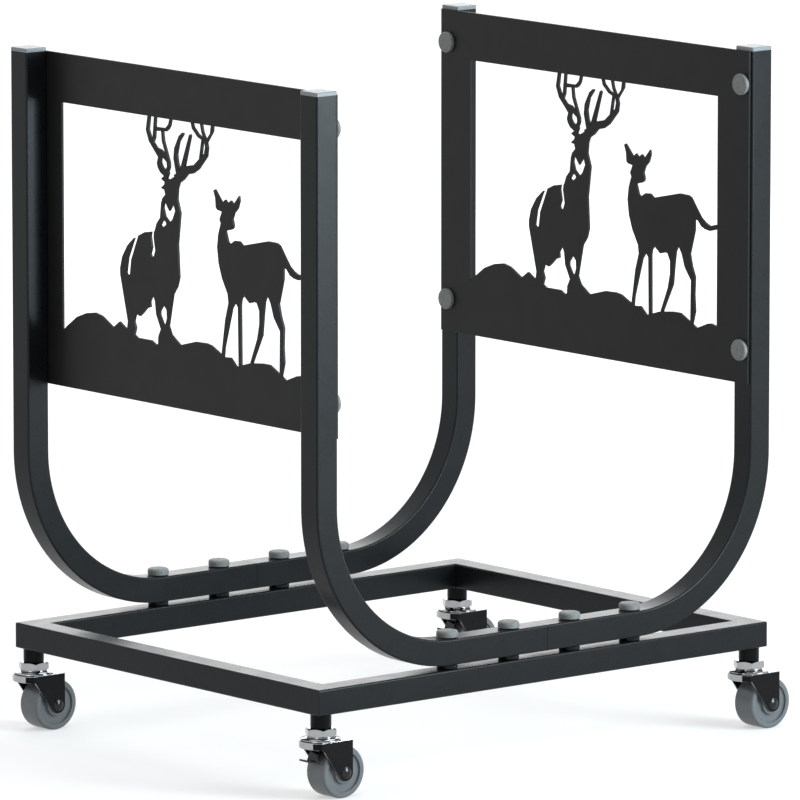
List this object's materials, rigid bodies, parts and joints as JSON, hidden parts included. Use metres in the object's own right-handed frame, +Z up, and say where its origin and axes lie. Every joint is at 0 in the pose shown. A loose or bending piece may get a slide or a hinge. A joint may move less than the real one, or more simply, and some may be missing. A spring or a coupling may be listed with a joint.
{
  "type": "fireside log cart",
  "caption": "Wheeled firewood cart: bent square-tube U cradle bolted over a welded base frame on swivel casters, with a cut-out deer panel on each side.",
  "frame": {"origin": "middle of the ground that the cart covers, on the floor", "axes": "+Z up; X along the bolted bottom runs of the U frames, from the left side panel to the right one; +Y from the open front to the open rear; the casters trail towards +X"},
  "size_m": [0.4808, 0.383, 0.5345],
  "materials": {
    "powder_coat": "black powder coat with a soft gloss on steel tube",
    "panel_coat": "black powder coat, a little flatter, on steel sheet",
    "grey_head": "grey matt finish of the bolt and screw heads",
    "cap_plastic": "dark grey end caps with a soft gloss",
    "spacer_plastic": "black spacers",
    "chrome": "bright plated steel of the casters",
    "wheel_plastic": "dark grey hard plastic wheel"
  },
  "bodies": {
    "cart": {"base_frame": "powder_coat", "cradle_tube_front_left": "powder_coat", "end_cap_front_left": "cap_plastic", "caster_stem_front_left": "chrome", "caster_nut_front_left": "chrome", "cradle_tube_front_right": "powder_coat", "end_cap_front_right": "cap_plastic", "caster_stem_front_right": "chrome", "caster_nut_front_right": "chrome", "cradle_tube_rear_left": "powder_coat", "end_cap_rear_left": "cap_plastic", "caster_stem_rear_left": "chrome", "caster_nut_rear_left": "chrome", "cradle_tube_rear_right": "powder_coat", "end_cap_rear_right": "cap_plastic", "caster_stem_rear_right": "chrome", "caster_nut_rear_right": "chrome", "joining_sleeve_front": "powder_coat", "frame_bolt_front_1": "grey_head", "spacer_front_1": "spacer_plastic", "frame_bolt_front_2": "grey_head", "spacer_front_2": "spacer_plastic", "frame_bolt_front_3": "grey_head", "spacer_front_3": "spacer_plastic", "frame_bolt_front_4": "grey_head", "spacer_front_4": "spacer_plastic", "joining_sleeve_rear": "powder_coat", "frame_bolt_rear_1": "grey_head", "spacer_rear_1": "spacer_plastic", "frame_bolt_rear_2": "grey_head", "spacer_rear_2": "spacer_plastic", "frame_bolt_rear_3": "grey_head", "spacer_rear_3": "spacer_plastic", "frame_bolt_rear_4": "grey_head", "spacer_rear_4": "spacer_plastic", "side_panel_left": "panel_coat", "panel_screw_left_front_bottom": "grey_head", "panel_screw_left_front_top": "grey_head", "panel_screw_left_rear_bottom": "grey_head", "panel_screw_left_rear_top": "grey_head", "side_panel_right": "panel_coat", "panel_screw_right_front_bottom": "grey_head", "panel_screw_right_front_top": "grey_head", "panel_screw_right_rear_bottom": "grey_head", "panel_screw_right_rear_top": "grey_head"},
    "fork_front_left": {"caster_fork_front_left": "chrome", "caster_axle_front_left": "chrome"},
    "wheel_front_left": {"caster_wheel_front_left": "wheel_plastic"},
    "fork_front_right": {"caster_fork_front_right": "chrome", "caster_axle_front_right": "chrome"},
    "wheel_front_right": {"caster_wheel_front_right": "wheel_plastic"},
    "fork_rear_left": {"caster_fork_rear_left": "chrome", "caster_axle_rear_left": "chrome"},
    "wheel_rear_left": {"caster_wheel_rear_left": "wheel_plastic"},
    "fork_rear_right": {"caster_fork_rear_right": "chrome", "caster_axle_rear_right": "chrome"},
    "wheel_rear_right": {"caster_wheel_rear_right": "wheel_plastic"},
    "pedal_front_left": {"brake_pedal_front_left": "chrome"},
    "pedal_rear_right": {"brake_pedal_rear_right": "chrome"}
  },
  "joints": [
    {"name": "swivel_front_left", "type": "hinge", "parent": "cart", "child": "fork_front_left", "pos_m": [-0.22364, -0.1755, 0.045], "axis": [0, 0, 1], "continuous": true},
    {"name": "wheel_spin_front_left", "type": "hinge", "parent": "fork_front_left", "child": "wheel_front_left", "pos_m": [-0.20964, -0.1755, 0.02], "axis": [0, 1, 0], "continuous": true},
    {"name": "swivel_front_right", "type": "hinge", "parent": "cart", "child": "fork_front_right", "pos_m": [0.20636, -0.1755, 0.045], "axis": [0, 0, 1], "continuous": true},
    {"name": "wheel_spin_front_right", "type": "hinge", "parent": "fork_front_right", "child": "wheel_front_right", "pos_m": [0.22036, -0.1755, 0.02], "axis": [0, 1, 0], "continuous": true},
    {"name": "swivel_rear_left", "type": "hinge", "parent": "cart", "child": "fork_rear_left", "pos_m": [-0.22364, 0.1755, 0.045], "axis": [0, 0, 1], "continuous": true},
    {"name": "wheel_spin_rear_left", "type": "hinge", "parent": "fork_rear_left", "child": "wheel_rear_left", "pos_m": [-0.20964, 0.1755, 0.02], "axis": [0, 1, 0], "continuous": true},
    {"name": "swivel_rear_right", "type": "hinge", "parent": "cart", "child": "fork_rear_right", "pos_m": [0.20636, 0.1755, 0.045], "axis": [0, 0, 1], "continuous": true},
    {"name": "wheel_spin_rear_right", "type": "hinge", "parent": "fork_rear_right", "child": "wheel_rear_right", "pos_m": [0.22036, 0.1755, 0.02], "axis": [0, 1, 0], "continuous": true},
    {"name": "brake_front_left", "type": "hinge", "parent": "fork_front_left", "child": "pedal_front_left", "pos_m": [-0.22784, -0.1755, 0.0388], "axis": [0, -1, 0], "range_deg": [0, 18]},
    {"name": "brake_rear_right", "type": "hinge", "parent": "fork_rear_right", "child": "pedal_rear_right", "pos_m": [0.20216, 0.1755, 0.0388], "axis": [0, -1, 0], "range_deg": [0, 18]}
  ]
}
